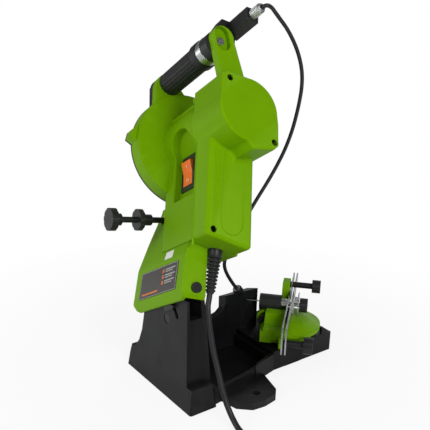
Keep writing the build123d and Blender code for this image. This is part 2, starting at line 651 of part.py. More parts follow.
fan_r = 25.0
with BuildPart() as cooling_fan:
    rod(along_shaft(-50, motor_v, motor_w), fan_r, 2)
    rod(along_shaft(-60, motor_v, motor_w), 9, 11)
    with BuildSketch(along_shaft(-60, motor_v, motor_w)):
        with PolarLocations(fan_r / 2 + 3, 11):
            Rectangle(fan_r - 7, 1.6)
    extrude(amount=10.5)
    rod(along_shaft(-61, motor_v, motor_w), 5.02, 20, mode=Mode.SUBTRACT)
finish(cooling_fan, "cooling_fan")

with BuildPart() as bearing_rear:
    ring(along_shaft(motor_end + 3.6, motor_v, motor_w), 11 - 0.02, 4.02, 7)
finish(bearing_rear, "bearing_rear")

with BuildPart() as bearing_front:
    ring(along_shaft(-17, motor_v, motor_w), bearing_r - 0.02, 5.02, 8)
finish(bearing_front, "bearing_front")

with BuildPart() as brush_holders:
    for side in (-1, 1):
        low, high = sorted((side * 12.4, side * 36.5))
        box_between(head, (-134, motor_v + low, motor_w - 5), (-126, motor_v + high, motor_w + 5))
finish(brush_holders, "brush_holders")

# ---- wheel ----------------------------------------------------------------------------------
with BuildPart() as flange_inner:
    ring(along_shaft(wheel_u - 2, motor_v, motor_w), 20, 5.02, 2)
    ring(along_shaft(wheel_u, motor_v, motor_w), wheel_bore / 2 - 0.02, 5.02, wheel_t - 0.3)
finish(flange_inner, "flange_inner")

with BuildPart() as grinding_wheel:
    with BuildSketch(along_shaft(wheel_u, motor_v, motor_w)):
        Circle(wheel_d / 2)
        Circle(wheel_bore / 2, mode=Mode.SUBTRACT)
    extrude(amount=wheel_t)
    chamfer(grinding_wheel.edges().filter_by(GeomType.CIRCLE).sort_by(SortBy.RADIUS)[-2:], 0.8)
finish(grinding_wheel, "grinding_wheel")

with BuildPart() as flange_outer:
    ring(along_shaft(wheel_u + wheel_t, motor_v, motor_w), 20, 5.02, 2.5)
finish(flange_outer, "flange_outer")

with BuildPart() as wheel_nut:
    with BuildSketch(along_shaft(wheel_u + wheel_t + 2.5, motor_v, motor_w)):
        RegularPolygon(9, 6)
        Circle(5.02, mode=Mode.SUBTRACT)
    extrude(amount=6)
finish(wheel_nut, "wheel_nut")

# ---- switch ---------------------------------------------------------------------------------
bezel_v = box_back - recess_deep
pivot_v = bezel_v - 2.0
with BuildPart() as switch_body:
    box_between(head, (switch_u - 16.5, bezel_v, switch_w - 23.5),
                (switch_u + 16.5, bezel_v + 2.2, switch_w + 23.5))
    box_between(head, (switch_u - 14.2, bezel_v - 20, switch_w - 21.2),
                (switch_u + 14.2, bezel_v + 0.5, switch_w + 21.2))
    box_between(head, (switch_u - 11.5, pivot_v - 6, switch_w - 17.6),
                (switch_u + 11.5, bezel_v + 5, switch_w + 17.6), mode=Mode.SUBTRACT)
    rod(along_shaft(switch_u - 13, pivot_v, switch_w), 1.6, 26, mode=Mode.SUBTRACT)
finish(switch_body, "switch_body")

with BuildPart() as switch_rocker:
    slab(turned(along_shaft(switch_u - 11.1, pivot_v, switch_w), "z", -rocker_swing / 2),
         [(6.5, -16), (4.6, 0), (6.5, 16), (1.5, 16.2), (-4, 4), (-4, -4), (1.5, -16.2)], 22.2)
    rod(along_shaft(switch_u - 12.8, pivot_v, switch_w), 1.5, 25.6)
finish(switch_rocker, "switch_rocker")

# ---- depth stop -----------------------------------------------------------------------------
with BuildPart() as stop_insert:
    ring(shifted(stop_axis, 0, 0, -13), stop_d / 2 + 2.1, stop_d / 2 + 0.05, 13)
finish(stop_insert, "stop_insert")

with BuildPart() as stop_screw:
    rod(shifted(stop_axis, 0, 0, stop_tip), stop_d / 2, stop_length - 8)
    rod(shifted(stop_axis, 0, 0, stop_tip + stop_length - 18), 8, 8)
    knob(shifted(stop_axis, 0, 0, stop_tip + stop_length - 10), 15, 9, 10, 1.6, 0.5)
finish(stop_screw, "stop_screw")

with BuildPart() as stop_lock_nut:
    ring(shifted(stop_axis, 0, 0, 22), 7.5, stop_d / 2 + 0.05, 14)
    knob(shifted(stop_axis, 0, 0, 36), 14.5, 7, 10, 1.6, stop_d / 2 + 0.05)
finish(stop_lock_nut, "stop_lock_nut")

# ---- labels ---------------------------------------------------------------------------------
def on_skin(u, w, low, high):
    """Plane on the neck's back between two points of its profile, sketch x to the right shell."""
    share = (w - low[1]) / (high[1] - low[1])
    v = low[0] + share * (high[0] - low[0])
    flat = Plane(head.from_local_coords(Vector(u, v, w)), x_dir=-head.x_dir, z_dir=head.y_dir)
    lean = degrees(atan2(low[0] - high[0], high[1] - low[1]))
    return shifted(turned(flat, "x", -lean), 0, 0, plate_stand)


with BuildPart() as nameplate:
    with BuildSketch(on_skin(-1, 16, neck_profile[2], neck_profile[3])):
        RectangleRounded(100, 36, 2)
    extrude(amount=0.6)
finish(nameplate, "nameplate")

with BuildPart() as rating_sticker:
    with BuildSketch(on_skin(-20, 47, neck_profile[3], neck_profile[4])):
        Rectangle(20, 10.5)
    extrude(amount=0.2)
finish(rating_sticker, "rating_sticker")

# ---- strain relief ----------------------------------------------------------------------------
relief_length = (relief_end - relief_start).length
with BuildPart() as strain_relief:
    with BuildSketch(relief_axis):
        Circle(relief_r)
    with BuildSketch(shifted(relief_axis, 0, 0, relief_length)):
        Circle(cord_d / 2 + 1.4)
    loft()
    for step in range(9):
        rod(shifted(relief_axis, 0, 0, relief_length * (0.22 + 0.085 * step)),
            relief_r - 0.3 * step, 2.4)
    rod(shifted(relief_axis, 0, 0, -1), cord_d / 2 + clearance, relief_length + 2, mode=Mode.SUBTRACT)
finish(strain_relief, "strain_relief")

# ---- vice -----------------------------------------------------------------------------------
seat_gap = 0.3
with BuildPart() as vice_table:
    rod(Plane((vice_x, vice_y, carrier_h + seat_gap)), hub_r, table_rim[0] - carrier_h)
    rod(Plane((vice_x, vice_y, table_rim[0])), table_r, table_rim[1] - table_rim[0])
    with BuildSketch(Plane((vice_x, vice_y, table_rim[1]))):
        Circle(table_r - 1)
    with BuildSketch(Plane((vice_x, vice_y, table_rim[1] + 5))):
        Circle(table_r - 10)
    with BuildSketch(Plane((vice_x, vice_y, dome_top))):
        Circle(12)
    loft()
    # shoulder and lug for the turn lock
    box_between(vice, (-50, jaw_face, table_rim[0] - 6), (-28, 36, table_rim[1]))
    box_between(vice, (lock_x - 8, 3, carrier_h + 0.6), (-hub_r + 6, 9, table_rim[1]))
    rod(across_plates(20, lock_x, lock_z), 3.05, 40, mode=Mode.SUBTRACT)
    # fixed jaw, saddle for the clamp cylinder, and the chain stop's post
    slab(across_plates(32), [(-50, 47), (-50, 56), (-36, 57), (-22, 68), (-6, 69), (10, 69), (15, 60),
                             (15, 47)], 32 - jaw_face)
    slab(across_plates(14), [(24, 48), (24, 84), (30, 93), (48, 93), (49, 82), (40, 48)], 14 - jaw_face)
    box_between(vice, (10, jaw_face, table_rim[1]), (30, 19, 60))
    ring(along_plates(-10, hook_y, hook_z), 11, 7.5, 12)
    box_between(vice, (-50, 28, table_rim[0] - 6), (-20, 36, 52))
    rod(across_plates(45, 0, clamp_z), cylinder_r + 0.02, 50, mode=Mode.SUBTRACT)
    rod(along_plates(-21, hook_y, hook_z), 7.45, 24, mode=Mode.SUBTRACT)
    rod(across_plates(45, 0, clamp_z), clamp_rod_d / 2 + clearance, 50, mode=Mode.SUBTRACT)
    rod(across_plates(45, stop_post_x, stop_rod_z), stop_rod_r + 0.05, 50, mode=Mode.SUBTRACT)
    for x in (-40, -20):
        rod(across_plates(jaw_face + 12, x, 70 - 15), 1.6, 20, mode=Mode.SUBTRACT)
    rod(Plane((vice_x, vice_y, carrier_h - 1)), 4.05, 60, mode=Mode.SUBTRACT)
finish(vice_table, "vice_table")

plate_outline = [(plate_near, plate_top), (plate_far, plate_top), (plate_far, 70), (60, dome_top + 0.5),
                 (-66, dome_top + 0.5), (-76, 56), (-79, 41), (plate_near, 41)]
with BuildPart() as plate_fixed:
    slab(across_plates(plate_gap / 2 + plate_t), plate_outline, plate_t)
    rod(across_plates(20, 0, clamp_z), clamp_rod_d / 2 + clearance, 40, mode=Mode.SUBTRACT)
finish(plate_fixed, "plate_fixed")

with BuildPart() as plate_moving:
    slab(across_plates(-plate_gap / 2), plate_outline, plate_t)
    rod(across_plates(20, 0, clamp_z), clamp_rod_d / 2, 40, mode=Mode.SUBTRACT)
finish(plate_moving, "plate_moving")

with BuildPart() as clamp_cylinder:
    ring(across_plates(43, 0, clamp_z), cylinder_r, clamp_rod_d / 2 + clearance, 31)
    rod(across_plates(43.5, 0, clamp_z), 6, 8, mode=Mode.SUBTRACT)
finish(clamp_cylinder, "clamp_cylinder")

with BuildPart() as clamp_collar:
    ring(across_plates(11.9, 0, clamp_z), 7, clamp_rod_d / 2 + clearance, 11.8 - jaw_face)
finish(clamp_collar, "clamp_collar")

bracket_s = plate_gap / 2 + plate_t
with BuildPart() as clamp_rod:
    rod(across_plates(34, 0, clamp_z), clamp_rod_d / 2, 34 + 23)
    rod(across_plates(35, 0, clamp_z), wire_d / 2 + 0.2, 9, mode=Mode.SUBTRACT)
finish(clamp_rod, "clamp_rod")

with BuildPart() as jaw_bracket:
    box_between(vice, (-8, -bracket_s - 2.5, 62), (8, -bracket_s, 84))
    box_between(vice, (-8, -bracket_s - 9, 80), (8, -bracket_s, 82.5))
    box_between(vice, (-5, -bracket_s - 9, 60), (5, -bracket_s - 7.4, 91))
    rod(across_plates(20, 0, clamp_z), clamp_rod_d / 2 + 0.02, 40, mode=Mode.SUBTRACT)
finish(jaw_bracket, "jaw_bracket")

with BuildPart() as clamp_knob:
    knob(across_plates(-bracket_s - 10, 0, clamp_z), 10, 11, 8, 1.2, clamp_rod_d / 2 + 0.05)
finish(clamp_knob, "clamp_knob")

with BuildPart() as chain_stop:
    rod(across_plates(13.8, stop_post_x, stop_rod_z), stop_rod_r, 13.8 + 29)
    knob(across_plates(-28, stop_post_x, stop_rod_z), 9.4, 12, 8, 1.2, 0.5)
finish(chain_stop, "chain_stop")

with BuildPart() as chain_pawl:
    ring(across_plates(1.4, stop_post_x, stop_rod_z), 7, stop_rod_r + 0.1, 1)
    slab(across_plates(1.4), [(stop_post_x - 6, stop_rod_z - 3), (stop_post_x - 5, stop_rod_z + 4),
                              (stop_post_x - 26, plate_top + 2), (stop_post_x - 24, plate_top - 4)], 1)
    rod(across_plates(3, stop_post_x, stop_rod_z), stop_rod_r + 0.1, 8, mode=Mode.SUBTRACT)
finish(chain_pawl, "chain_pawl")

with BuildPart() as turn_lock:
    rod(across_plates(11, lock_x, lock_z), 3.0, 12)
    rod(across_plates(2.7, lock_x, lock_z), 5.0, 27)
    knob(across_plates(-24.3, lock_x, lock_z), 11.5, 13, 7, 1.8, 0.5)
finish(turn_lock, "turn_lock")

with BuildPart() as lever_pin:
    rod(along_plates(-20, hook_y, hook_z), 7.4, 21)
finish(lever_pin, "lever_pin")

with BuildPart() as jaw_screws:
    for x in (-40, -20):
        rod(across_plates(jaw_face + 9, x, 55), 1.6, 9)
finish(jaw_screws, "jaw_screws")

with BuildPart() as vice_pivot:
    rod(Plane((vice_x, vice_y, ground_gap + 1)), 4.0, 52 - ground_gap)
    rod(Plane((vice_x, vice_y, ground_gap + 1)), 7.5, 5)
finish(vice_pivot, "vice_pivot")

# ---- base hardware --------------------------------------------------------------------------
with BuildPart() as tilt_knob:
    knob(Plane((tilt_x, column_front - 1, tilt_z), z_dir=(0, -1, 0)), 13, 12, 6, 2.2, 6.02)
    rod(Plane((tilt_x, column_front + 3.1, tilt_z), z_dir=(0, -1, 0)), 9, 5)
    rod(Plane((tilt_x, column_front + 5, tilt_z), z_dir=(0, -1, 0)), 6.02, 20, mode=Mode.SUBTRACT)
finish(tilt_knob, "tilt_knob")

index_axis = turned(shifted(bracket, -index_r * cos(radians(index_angle - head_tilt)), slot_mid,
                            index_r * sin(radians(index_angle - head_tilt))), "x", -90)
with BuildPart() as index_screw:
    rod(shifted(index_axis, 0, 0, 0.5), 2.45, 13)
    with BuildSketch(shifted(index_axis, 6, 0, 13.4)):
        SlotOverall(22, 6)
    extrude(amount=3)
finish(index_screw, "index_screw")

with BuildPart() as cable_ferrule:
    ring(shifted(cable_seat, 0, 0, -8.9), 4.0, cable_d / 2 + 0.1, 12)
    ring(shifted(cable_seat, 0, 0, 0.5), 5.2, cable_d / 2 + 0.1, 3)
finish(cable_ferrule, "cable_ferrule")

# ---- cords ----------------------------------------------------------------------------------


def cord_tube(name, points, radius):
    """A tube along straight runs and tangent arcs, each arc as large as its runs allow."""
    points = [Vector(*p) for p in points]
    radii = []
    for before, corner, after in zip(points, points[1:], points[2:]):
        first, second = corner - before, after - corner
        half = radians(first.get_angle(second)) / 2
        radii.append(0.45 * min(first.length, second.length) / tan(half))
    with BuildPart() as tube:
        with BuildLine() as route:
            FilletPolyline(*points, radius=radii)
        with BuildSketch(Plane(route.line @ 0, z_dir=route.line % 0)):
            Circle(radius)
        sweep()
    length = sum(edge.length for edge in route.edges())
    print(name, "radii", [round(r, 1) for r in radii], "length", round(length, 1),
          "volume share", round(tube.part.volume / (pi * radius ** 2 * length), 4))
    return tube.part


def at_head(u, v, w):
    """A point given in the head's frame."""
    return tuple(head.from_local_coords(Vector(u, v, w)))


adjuster_exit = at_head(bar_end - 24.8, bar_mid_v, bar_mid_w)
seat_mouth = tuple(cable_seat.from_local_coords(Vector(0, 0, -7)))
seat_above = tuple(cable_seat.from_local_coords(Vector(0, 0, 14)))
last_bend = Vector(25.6, -33.0, 131.0)
cable_meet = tuple((last_bend + Vector(*seat_above)) / 2)
upper_route = [at_head(bar_end - 10.1, bar_mid_v, bar_mid_w), adjuster_exit, (-20.8, -55.4, 477.7),
               (-16.7, -67.8, 468.9), (-17.9, -90.4, 447.1), (-16.0, -111.3, 417.2),
               (-13.1, -122.1, 386.9), (-8.5, -121.5, 350.0), (-0.8, -116.0, 306.7),
               (5.3, -98.6, 266.5), (12.5, -69.0, 220.0), (18.5, -46.0, 180.0), (23.5, -32.5, 148.0),
               tuple(last_bend), cable_meet]
lower_route = [cable_meet, seat_above, seat_mouth]
with BuildPart() as cable_upper:
    add(cord_tube("cable_upper", upper_route, cable_d / 2))
finish(cable_upper, "cable_upper")
with BuildPart() as cable_lower:
    add(cord_tube("cable_lower", lower_route, cable_d / 2))
finish(cable_lower, "cable_lower")
with BuildPart() as cable_wire:
    rod(across_plates(69, 0, clamp_z), wire_d / 2, 69 - 30)
finish(cable_wire, "cable_wire")

bench_z = cord_d / 2
coil_x = -192.0
coil_y = 102.0
coil_r = coil_mid_d / 2
cord_end_x = -158.0
cord_high = Vector(-66.5, 61.0, 132.0)
cord_low = Vector(-81.5, 62.3, 85.5)
cord_meet = tuple((cord_high + cord_low) / 2)
relief_run = (relief_end - relief_start).normalized()
cord_upper_route = [tuple(relief_end - relief_run * 8), tuple(relief_end + relief_run * 6),
                    tuple(cord_high), cord_meet]
cord_lower_route = [cord_meet, tuple(cord_low), (-92.0, 61.6, 62.6), (-101.0, 62.4, 44.0),
                    (-110.0, 61.2, 26.0), (-122.0, 60.0, 10.5), (-140.0, coil_y - coil_r, bench_z),
                    (cord_end_x, coil_y - coil_r, bench_z)]
with BuildPart() as mains_cord_upper:
    add(cord_tube("mains_cord_upper", cord_upper_route, cord_d / 2))
finish(mains_cord_upper, "mains_cord_upper")
with BuildPart() as mains_cord_lower:
    add(cord_tube("mains_cord_lower", cord_lower_route, cord_d / 2))
finish(mains_cord_lower, "mains_cord_lower")

plug_x = coil_x - 36.0
plug_plane = Plane((plug_x, coil_y - coil_r, 5 * bench_z), x_dir=(0, 1, 0), z_dir=(-1, 0, 0))
tie_sink = 1.5
tie_plane = Plane((coil_x - coil_r, coil_y, 1.5 * cord_d), x_dir=(1, 0, 0), z_dir=(0, 1, 0))
with BuildPart() as mains_cord_coil:
    ring(Plane((coil_x, coil_y, 2 * plate_stand)), coil_r + cord_d, coil_r - cord_d, 3 * cord_d)
    rod(Plane((coil_x, coil_y - coil_r, bench_z), z_dir=(1, 0, 0)), cord_d / 2, cord_end_x - coil_x)
    rod(Plane((coil_x, coil_y - coil_r, 5 * bench_z), z_dir=(-1, 0, 0)), cord_d / 2, coil_x - plug_x)
    rod(Plane((coil_x, coil_y, -1)), coil_r - cord_d, 4 * cord_d, mode=Mode.SUBTRACT)
    with BuildSketch(tie_plane):
        Rectangle(4 * cord_d, 6 * cord_d)
        Rectangle(2 * cord_d - 2 * tie_sink, 3 * cord_d - 2 * tie_sink, mode=Mode.SUBTRACT)
    extrude(amount=3, both=True, mode=Mode.SUBTRACT)
finish(mains_cord_coil, "mains_cord_coil")

with BuildPart() as plug:
    with BuildSketch(plug_plane):
        Circle(5.5)
    with BuildSketch(shifted(plug_plane, 0, 0, 22)):
        Circle(13)
    loft()
    rod(shifted(plug_plane, 0, 0, 22), 17.3, 16)
    for side in (-1, 1):
        rod(shifted(plug_plane, side * 9.5, 0, 30), 2.4, 27)
finish(plug, "plug")

with BuildPart() as cord_tie:
    with BuildSketch(tie_plane):
        Rectangle(2 * cord_d, 3 * cord_d - 2 * plate_stand)
        Rectangle(2 * cord_d - 2 * tie_sink, 3 * cord_d - 2 * tie_sink, mode=Mode.SUBTRACT)
    extrude(amount=3, both=True)
finish(cord_tie, "cord_tie")
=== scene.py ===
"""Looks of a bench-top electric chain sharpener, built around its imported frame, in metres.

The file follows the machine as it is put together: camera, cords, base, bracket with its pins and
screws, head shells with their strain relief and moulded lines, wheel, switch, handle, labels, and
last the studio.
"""
import math

import bmesh
import bpy
from mathutils import Matrix, Vector


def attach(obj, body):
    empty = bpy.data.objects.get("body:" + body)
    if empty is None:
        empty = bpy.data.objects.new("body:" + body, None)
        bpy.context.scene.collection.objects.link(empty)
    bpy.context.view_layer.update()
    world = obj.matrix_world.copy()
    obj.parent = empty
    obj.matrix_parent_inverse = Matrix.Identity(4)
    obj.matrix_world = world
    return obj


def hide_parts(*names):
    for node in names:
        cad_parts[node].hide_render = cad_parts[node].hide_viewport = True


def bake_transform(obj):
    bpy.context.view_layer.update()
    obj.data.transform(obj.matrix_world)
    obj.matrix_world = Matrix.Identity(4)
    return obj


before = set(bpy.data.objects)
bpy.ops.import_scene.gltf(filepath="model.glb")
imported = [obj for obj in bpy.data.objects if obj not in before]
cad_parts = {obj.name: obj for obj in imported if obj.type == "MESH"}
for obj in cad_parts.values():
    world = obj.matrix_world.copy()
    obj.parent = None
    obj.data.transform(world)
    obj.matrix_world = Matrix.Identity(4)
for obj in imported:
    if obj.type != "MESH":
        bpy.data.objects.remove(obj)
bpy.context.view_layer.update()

# ---- Camera -----------------------------------------------------------------------------------
# The machine is seen from behind and to the motor's side, from a little above the head's middle,
# with a long lens held almost level.
eye = Vector((-0.6705, 0.5016, 0.4934))
eye_yaw, eye_pitch, eye_roll = math.radians(233.4), math.radians(18.0), math.radians(-1.5)
eye_back = Vector((math.sin(eye_yaw) * math.cos(eye_pitch),
                   -math.cos(eye_yaw) * math.cos(eye_pitch), math.sin(eye_pitch)))
eye_right = (-eye_back).cross(Vector((0, 0, 1))).normalized()
eye_down = (-eye_back).cross(eye_right)
rolled_right = math.cos(eye_roll) * eye_right + math.sin(eye_roll) * eye_down
rolled_down = -math.sin(eye_roll) * eye_right + math.cos(eye_roll) * eye_down
camera = bpy.data.objects.new("viewpoint", bpy.data.cameras.new("viewpoint"))
camera.data.lens = 57.77
camera.data.sensor_width = 36
camera.data.clip_start = 0.05
camera.matrix_world = Matrix.Translation(eye) @ Matrix(
    (rolled_right, -rolled_down, eye_back)).transposed().to_4x4()
bpy.context.scene.collection.objects.link(camera)
bpy.context.scene.camera = camera


# ---- Clamp cable ------------------------------------------------------------------------------
# A pull cable in a smooth black sleeve: it leaves the adjuster on the handle, bows out in front of
# the head, and ends in a ferrule on the stop tower. Its bare wire goes on to the vice.
cloud_scale = 38
cloud_detail = 5
# The painted highlight on sharp edges: the Pointiness range it spans, and how much lighter the edge
# colour is.
highlight_from, highlight_to = 0.54, 0.66
highlight_gain, highlight_lift = 1.6, 0.04
gloss_swing = 0.07
bump_strength = 0.6
coat_rough = 0.25


def finish_of(name, colour, rough, grain=1200.0, relief=0.00004, vary=0.10, metallic=0.0, coat=0.0,
              edge=0.0, edge_highlight=0.0, stretch=(1, 1, 1), shine=0.5, glint=(1, 1, 1)):
    """A surface finish on Object coordinates: clouded colour, uneven gloss, grain, soft edges, and a
    painted highlight on sharp edges when one is asked for.
    """
    material = bpy.data.materials.new(name)
    material.use_nodes = True
    nodes, links = material.node_tree.nodes, material.node_tree.links
    shader = nodes["Principled BSDF"]
    shader.inputs["Metallic"].default_value = metallic
    shader.inputs["Specular IOR Level"].default_value = shine
    shader.inputs["Specular Tint"].default_value = (*glint, 1)
    shader.inputs["Coat Weight"].default_value = coat
    shader.inputs["Coat Roughness"].default_value = coat_rough
    place = nodes.new("ShaderNodeTexCoord")
    mapping = nodes.new("ShaderNodeMapping")
    mapping.inputs["Scale"].default_value = stretch
    links.new(place.outputs["Object"], mapping.inputs["Vector"])
    clouds = nodes.new("ShaderNodeTexNoise")
    clouds.inputs["Scale"].default_value = cloud_scale
    clouds.inputs["Detail"].default_value = cloud_detail
    links.new(mapping.outputs["Vector"], clouds.inputs["Vector"])
    tint = nodes.new("ShaderNodeMix")
    tint.data_type = "RGBA"
    tint.inputs["A"].default_value = [c * (1 - vary) for c in colour] + [1]
    tint.inputs["B"].default_value = [min(1, c * (1 + vary)) for c in colour] + [1]
    links.new(clouds.outputs["Fac"], tint.inputs["Factor"])
    shade = tint.outputs["Result"]
    # Sharp edges, found by Pointiness, are lightened towards a brighter copy of the colour: a
    # painted highlight along the edges.
    if edge_highlight:
        pointed = nodes.new("ShaderNodeNewGeometry")
        rim = nodes.new("ShaderNodeMapRange")
        rim.inputs["From Min"].default_value = highlight_from
        rim.inputs["From Max"].default_value = highlight_to
        rim.inputs["To Max"].default_value = edge_highlight
        links.new(pointed.outputs["Pointiness"], rim.inputs["Value"])
        lit_edge = nodes.new("ShaderNodeMix")
        lit_edge.data_type = "RGBA"
        lit_edge.inputs["B"].default_value = [min(1, c * highlight_gain + highlight_lift) for c in colour] + [1]
        links.new(rim.outputs["Result"], lit_edge.inputs["Factor"])
        links.new(shade, lit_edge.inputs["A"])
        shade = lit_edge.outputs["Result"]
    links.new(shade, shader.inputs["Base Color"])
    gloss = nodes.new("ShaderNodeMapRange")
    gloss.inputs["From Min"].default_value = 0.3
    gloss.inputs["From Max"].default_value = 0.7
    gloss.inputs["To Min"].default_value = max(0.05, rough - gloss_swing)
    gloss.inputs["To Max"].default_value = min(1, rough + gloss_swing)
    links.new(clouds.outputs["Fac"], gloss.inputs["Value"])
    links.new(gloss.outputs["Result"], shader.inputs["Roughness"])
    fine = nodes.new("ShaderNodeTexNoise")
    fine.inputs["Scale"].default_value = grain
    fine.inputs["Detail"].default_value = 3
    links.new(mapping.outputs["Vector"], fine.inputs["Vector"])
    bump = nodes.new("ShaderNodeBump")
    bump.inputs["Strength"].default_value = bump_strength
    bump.inputs["Distance"].default_value = relief
    links.new(fine.outputs["Fac"], bump.inputs["Height"])
    if edge:
        soft = nodes.new("ShaderNodeBevel")
        soft.samples = 6
        soft.inputs["Radius"].default_value = edge
        links.new(soft.outputs["Normal"], bump.inputs["Normal"])
    links.new(bump.outputs["Normal"], shader.inputs["Normal"])
    return material


def dress(material, *nodes):
    """Gives CAD nodes their finish."""
    for name in nodes:
        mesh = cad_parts[name].data
        mesh.materials.clear()
        mesh.materials.append(material)


def cord_line(points):
    """The smooth line of a cord: an order-3 NURBS with the route's points as control points."""
    curve = bpy.data.curves.new("route", "CURVE")
    curve.dimensions = "3D"
    curve.resolution_u = 12
    spline = curve.splines.new("NURBS")
    spline.points.add(len(points) - 1)
    for point, place in zip(spline.points, points):
        point.co = (*place, 1)
    spline.use_endpoint_u = True
    spline.order_u = 3
    return curve


def line_points(curve):
    """The places along a cord's line, read from its spline."""
    holder = bpy.data.objects.new("line", curve)
    mesh = bpy.data.meshes.new_from_object(holder)
    places = [v.co.copy() for v in mesh.vertices]
    bpy.data.meshes.remove(mesh)
    bpy.data.objects.remove(holder)
    return places


def cord_mesh(name, points, diameter, sides=4):
    """A round tube along a cord's line, as a mesh with capped ends, and the line's places."""
    curve = cord_line(points)
    places = line_points(curve)
    curve.bevel_depth = diameter / 2
    curve.bevel_resolution = sides
    curve.use_fill_caps = True
    holder = bpy.data.objects.new("tube", curve)
    mesh = bpy.data.meshes.new_from_object(holder)
    bpy.data.objects.remove(holder)
    piece = bpy.data.objects.new(name, mesh)
    bpy.context.scene.collection.objects.link(piece)
    for polygon in mesh.polygons:
        polygon.use_smooth = True
    return piece, places


sleeve_black = finish_of("cable_sleeve", (0.012, 0.012, 0.013), 0.40, grain=900, relief=0.00002,
                         shine=0.4)
cable_thick = 0.005
cable_join = (0.02785, -0.04313, 0.11621)
cable_upper_route = [
    (-0.00680, -0.04633, 0.47175), (-0.01953, -0.04633, 0.47910), (-0.0208, -0.0554, 0.4777),
    (-0.0167, -0.0678, 0.4689), (-0.0179, -0.0904, 0.4471), (-0.0160, -0.1113, 0.4172),
    (-0.0131, -0.1221, 0.3869), (-0.0085, -0.1215, 0.3500), (-0.0008, -0.1160, 0.3067),
    (0.0053, -0.0986, 0.2665), (0.0125, -0.0690, 0.2200), (0.0185, -0.0460, 0.1800),
    (0.0235, -0.0325, 0.1480), (0.0256, -0.0330, 0.1310), cable_join]
cable_lower_route = [cable_join, (0.03010, -0.05326, 0.10143), (0.03220, -0.06712, 0.08579)]
upper_sleeve, upper_places = cord_mesh("clamp_cable_upper", cable_upper_route, cable_thick)
upper_sleeve.data.materials.append(sleeve_black)
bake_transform(upper_sleeve)
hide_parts("cable_upper")
lower_sleeve, lower_places = cord_mesh("clamp_cable_lower", cable_lower_route, cable_thick)
lower_sleeve.data.materials.append(sleeve_black)
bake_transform(lower_sleeve)
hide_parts("cable_lower")

# ---- Mains cord -------------------------------------------------------------------------------
# A two-core rubber lead: it hangs from the relief under the head, runs down past the column to the
# bench, and the rest is put away in a tied coil with its plug on top.
cord_thick = 0.007
cord_join = (-0.07400, 0.06165, 0.10875)
bench_z = cord_thick / 2
coil_x, coil_y, coil_r = -0.192, 0.102, 0.040
cord_end = (-0.158, coil_y - coil_r, bench_z)
cord_upper_route = [(-0.05562, 0.04845, 0.15402), (-0.06117, 0.05435, 0.14260),
                    (-0.0665, 0.0610, 0.1320), cord_join]
cord_lower_route = [cord_join, (-0.0815, 0.0623, 0.0855), (-0.0920, 0.0616, 0.0626),
                    (-0.1010, 0.0624, 0.0440), (-0.1100, 0.0612, 0.0260),
                    (-0.1220, 0.0600, 0.0105), (-0.1400, coil_y - coil_r, bench_z), cord_end]
plated = finish_of("zinc_plate", (0.62, 0.62, 0.63), 0.30, grain=2200, relief=0.00002,
                   metallic=1.0, edge=0.0003, vary=0.06)
lead_black = finish_of("lead_rubber", (0.012, 0.012, 0.013), 0.48, grain=1100, relief=0.00003,
                       shine=0.35)
upper_lead, upper_lead_places = cord_mesh("mains_lead_upper", cord_upper_route, cord_thick)
upper_lead.data.materials.append(lead_black)
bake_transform(upper_lead)
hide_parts("mains_cord_upper")
lower_lead, lower_lead_places = cord_mesh("mains_lead_lower", cord_lower_route, cord_thick)
lower_lead.data.materials.append(lead_black)
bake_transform(lower_lead)
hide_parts("mains_cord_lower")
# The coil's strands lie two abreast and three high. In each turn a strand keeps to its lane and
# then crosses to the next one, the top strand first, so none runs through another.
lanes = [(0.0435, 0.0035), (0.0365, 0.0035), (0.0365, 0.0105), (0.0435, 0.0105),
         (0.0435, 0.0175), (0.0365, 0.0175)]
turn_points = 24
turns = 5
first_cross, cross_share = 0.12, 0.176
coil_places = [Vector(cord_end), Vector((-0.170, coil_y - 0.0405, bench_z))]
for turn in range(turns):
    for step in range(turn_points):
        share = (step / turn_points - first_cross) / cross_share - (turns - 1 - turn)
        ease = min(1, max(0, share))
        ease = ease * ease * (3 - 2 * ease)
        radius, height = (a + (b - a) * ease for a, b in zip(lanes[turn], lanes[turn + 1]))
        angle = -math.pi / 2 - 2 * math.pi * step / turn_points
        coil_places.append(Vector((coil_x + radius * math.cos(angle),
                                   coil_y + radius * math.sin(angle), height)))
plug_x = coil_x - 0.036
plug_length = 0.0382
coil_places += [Vector((coil_x, coil_y - lanes[turns][0], lanes[turns][1])),
                Vector((coil_x - 0.018, coil_y - 0.039, 0.0175)),
                Vector((plug_x + 0.008, coil_y - coil_r, 0.0175)),
                Vector((plug_x, coil_y - coil_r, 0.0175))]
coil_lead, coil_lead_places = cord_mesh("mains_lead_coil", coil_places, cord_thick, sides=3)
coil_lead.data.materials.append(lead_black)
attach(coil_lead, "base")
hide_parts("mains_cord_coil")
dress(lead_black, "plug", "cord_tie")
plug_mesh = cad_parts["plug"].data
plug_mesh.materials.append(plated)
for polygon in plug_mesh.polygons:
    if polygon.center.x < plug_x - plug_length:
        polygon.material_index = 1

# ---- Base -------------------------------------------------------------------------------------
# One black moulding with a fine leathery grain: foot, column, tub, carrier, tower and ears.
# Its edges carry a painted highlight.
base_black = finish_of("base_plastic", (0.006, 0.006, 0.007), 0.38, grain=700, relief=0.00012,
                       vary=0.14, edge=0.0011, edge_highlight=0.30, shine=0.2)
dress(base_black, "base_casting")
# Its edges carry a painted highlight.
part_black = finish_of("small_black_plastic", (0.007, 0.007, 0.008), 0.36, grain=1500,
                       relief=0.00003, edge=0.0006, edge_highlight=0.25, shine=0.4)
dress(part_black, "tilt_knob", "stop_screw", "stop_lock_nut", "clamp_knob", "chain_stop",
      "turn_lock", "lever_pin", "shaft_caps", "cable_housing", "guard_cover", "switch_body",
      "cooling_fan", "brush_holders")
